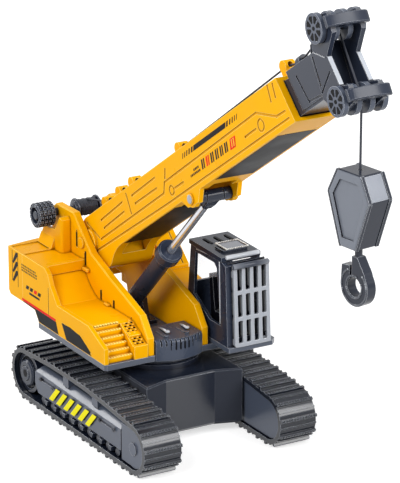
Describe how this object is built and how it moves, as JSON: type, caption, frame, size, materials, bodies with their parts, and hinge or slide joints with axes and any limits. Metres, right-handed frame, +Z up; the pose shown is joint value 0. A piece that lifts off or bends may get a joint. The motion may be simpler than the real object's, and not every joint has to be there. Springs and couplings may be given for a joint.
{
  "type": "toy crawler crane with a telescopic boom",
  "caption": "Small toy crawler crane: tracks, slewing upper part with cab, luffing telescopic boom on a cylinder, and a winch that lifts a hook block.",
  "frame": {"origin": "on the floor, on the slewing axis", "axes": "+Z up; the boom points along -Y; +X towards the cab"},
  "size_m": [0.078, 0.2272, 0.2018],
  "materials": {
    "cord_black": "black twisted string",
    "dark_plastic": "satin dark slate-grey moulded plastic",
    "grey_plastic": "semi-gloss grey moulded plastic",
    "silver_metal": "bright rod",
    "yellow_plastic": "glossy moulded plastic, warm construction yellow"
  },
  "bodies": {
    "undercarriage": {"car_body": "dark_plastic", "slewing_ring": "dark_plastic", "track_left": "dark_plastic", "track_right": "dark_plastic", "track_frame_left": "dark_plastic", "track_frame_right": "dark_plastic", "front_wheel_left": "dark_plastic", "front_wheel_right": "dark_plastic", "rear_wheel_left": "dark_plastic", "rear_wheel_right": "dark_plastic", "lower_rollers_left": "dark_plastic", "lower_rollers_right": "dark_plastic"},
    "upperworks": {"deck": "grey_plastic", "a_plate_left": "yellow_plastic", "a_plate_right": "yellow_plastic", "side_cover_left": "yellow_plastic", "side_cover_right": "yellow_plastic", "louvred_box": "yellow_plastic", "counterweight": "yellow_plastic", "front_cover": "grey_plastic", "winch_stand_left": "yellow_plastic", "winch_stand_right": "yellow_plastic", "boom_pin": "silver_metal", "cylinder_bracket": "dark_plastic", "cab_floor": "grey_plastic", "cab_shell": "dark_plastic", "cab_roof": "dark_plastic", "cab_guard": "grey_plastic", "cab_seat": "dark_plastic"},
    "winch": {"winch_drum": "dark_plastic", "winch_knob": "dark_plastic"},
    "luffing_boom": {"boom": "yellow_plastic", "boom_guides": "yellow_plastic", "ear_caps": "yellow_plastic", "ear_pin": "silver_metal"},
    "boom_extension": {"inner_boom": "grey_plastic", "head_frame": "grey_plastic", "lower_sheaves": "grey_plastic", "upper_sheaves": "grey_plastic"},
    "rope_drop": {"hoist_rope": "cord_black"},
    "block": {"hook_block": "grey_plastic"},
    "swivel_hook": {"hook": "grey_plastic"},
    "barrel": {"cylinder_barrel": "dark_plastic"},
    "rod": {"cylinder_rod": "silver_metal", "rod_end": "dark_plastic"}
  },
  "joints": [
    {"name": "slew", "type": "hinge", "parent": "undercarriage", "child": "upperworks", "pos_m": [0, 0, 0.0343], "axis": [0, 0, 1], "continuous": true},
    {"name": "luff", "type": "hinge", "parent": "upperworks", "child": "luffing_boom", "pos_m": [0, 0.038, 0.066], "axis": [-1, 0, 0], "range_deg": [-20, 30]},
    {"name": "telescope", "type": "slide", "parent": "luffing_boom", "child": "boom_extension", "axis": [0, -0.8377, 0.5461], "range_m": [0, 0.045]},
    {"name": "rope_swing", "type": "hinge", "parent": "boom_extension", "child": "rope_drop", "pos_m": [0, -0.14334, 0.17108], "axis": [-1, 0, 0], "range_deg": [-30, 20]},
    {"name": "winch_turn", "type": "hinge", "parent": "upperworks", "child": "winch", "pos_m": [0, 0.0595, 0.0732], "axis": [-1, 0, 0], "range_deg": [-134, 267]},
    {"name": "hoist", "type": "slide", "parent": "rope_drop", "child": "block", "axis": [0, 0, 1], "range_m": [-0.0065, 0.013]},
    {"name": "hook_swivel", "type": "hinge", "parent": "block", "child": "swivel_hook", "pos_m": [0, -0.14574, 0.10198], "axis": [0, 0, 1], "continuous": true},
    {"name": "cylinder_swing", "type": "hinge", "parent": "upperworks", "child": "barrel", "pos_m": [0, 0.0215, 0.043], "axis": [-1, 0, 0], "range_deg": [-19.5, 28.7]},
    {"name": "cylinder_stroke", "type": "slide", "parent": "barrel", "child": "rod", "axis": [0, -0.7114, 0.7028], "range_m": [-0.0097, 0.0144]}
  ],
  "couplings": [
    {"joint": "rope_swing", "follows": "luff", "ratio": -1},
    {"joint": "winch_turn", "follows": "hoist", "rad_per_m": 357.14},
    {"joint": "cylinder_swing", "follows": "luff", "ratio": 0.92478},
    {"joint": "cylinder_stroke", "follows": "luff", "m_per_rad": 0.026881}
  ]
}
